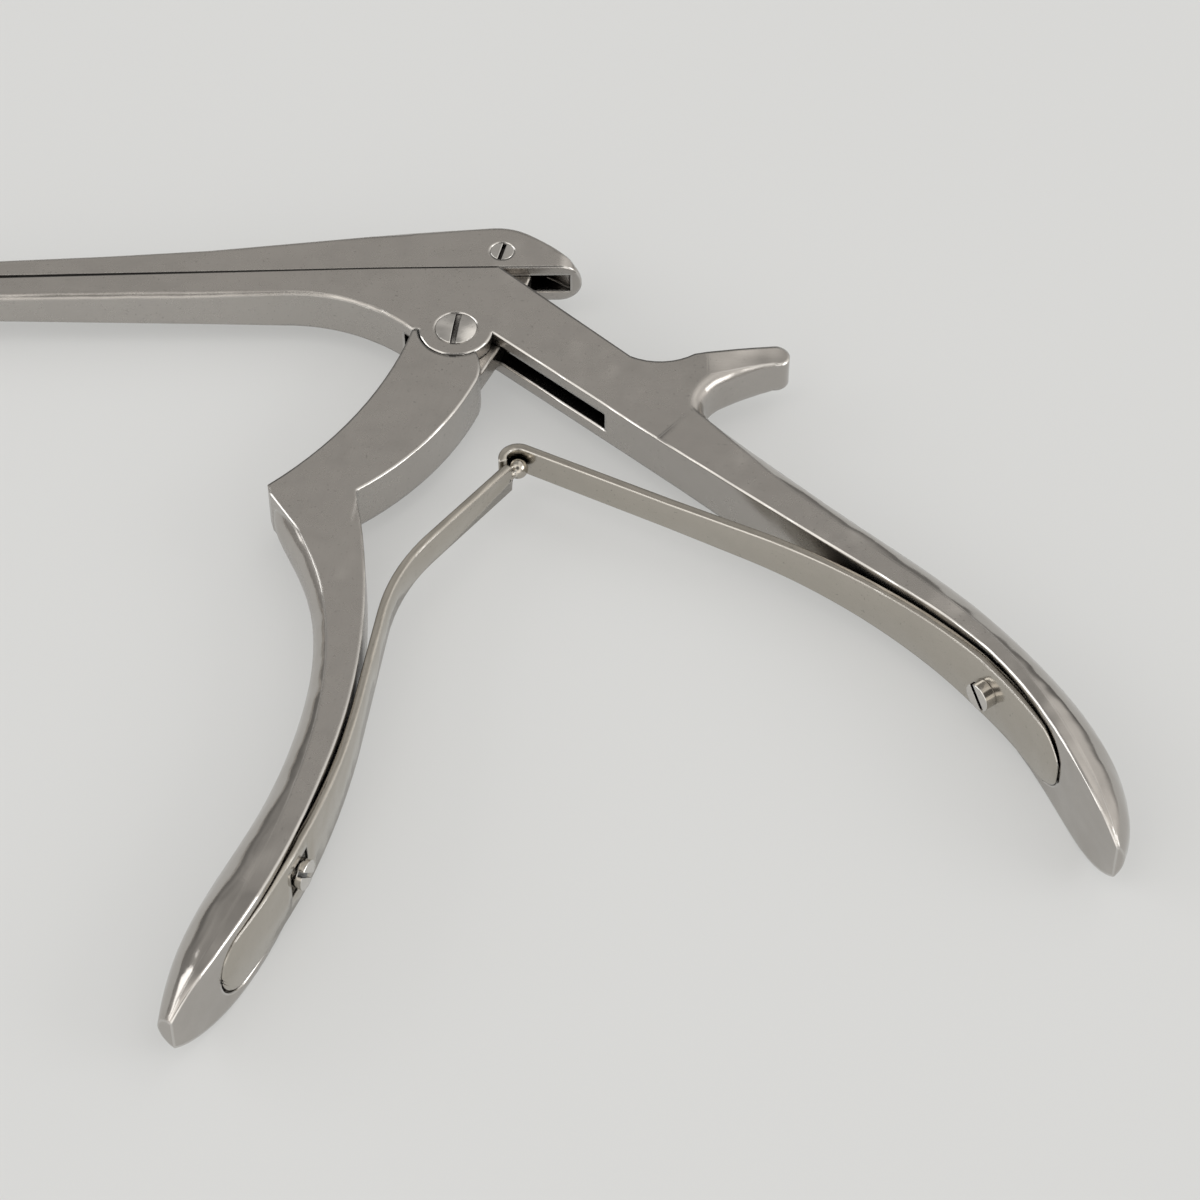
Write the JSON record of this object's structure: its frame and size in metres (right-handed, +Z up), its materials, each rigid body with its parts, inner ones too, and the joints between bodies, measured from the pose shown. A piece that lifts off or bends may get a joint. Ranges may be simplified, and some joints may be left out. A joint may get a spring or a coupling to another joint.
{
  "type": "bone rongeur",
  "caption": "Laminectomy bone punch: long lower shank with footplate, T-rail slide on top, pistol handles held open by two leaf springs joined by a ball.",
  "frame": {"origin": "centre of the instrument's outline, lying on its side on a tray, at tray level", "axes": "+X along the shaft from the jaw toward the handles, +Y toward the top of the shaft, +Z up from the tray"},
  "size_m": [0.269, 0.1352, 0.0132],
  "materials": {
    "satin_steel": "satin, warm grey",
    "spring_steel": "satin, slightly warmer",
    "screw_steel": "bright turned"
  },
  "bodies": {
    "frame": {"frame": "satin_steel", "pivot_screw": "screw_steel", "rear_spring_screw": "screw_steel"},
    "lever": {"front_handle": "satin_steel", "front_spring_screw": "screw_steel"},
    "slide": {"slide": "satin_steel", "slide_screw": "screw_steel"},
    "rear_leaf": {"rear_leaf_spring": "spring_steel"},
    "front_leaf": {"front_leaf_spring": "spring_steel"}
  },
  "joints": [
    {"name": "lever_pivot", "type": "hinge", "parent": "frame", "child": "lever", "pos_m": [0.04958, 0.04712, 0.0067], "axis": [0, 0, 1], "range_deg": [0, 36], "stiffness_Nm_per_rad": 0.06, "springref_deg": -17.19},
    {"name": "slide_travel", "type": "slide", "parent": "frame", "child": "slide", "axis": [-1, 0, 0], "range_m": [0, 0.0101]},
    {"name": "rear_leaf_flex", "type": "hinge", "parent": "frame", "child": "rear_leaf", "pos_m": [0.11876, -0.01584, 0.0067], "axis": [0, 0, -1], "range_deg": [0, 7.55], "deforming": ["rear_leaf_spring"]},
    {"name": "front_leaf_flex", "type": "hinge", "parent": "lever", "child": "front_leaf", "pos_m": [0.03047, -0.04337, 0.0067], "axis": [0, 0, 1], "range_deg": [0, 5.29], "deforming": ["front_leaf_spring"]}
  ],
  "couplings": [
    {"joint": "slide_travel", "follows": "lever_pivot", "m_per_rad": 0.01604},
    {"joint": "rear_leaf_flex", "follows": "lever_pivot", "ratio": 0.20838},
    {"joint": "front_leaf_flex", "follows": "lever_pivot", "ratio": 0.14553}
  ]
}
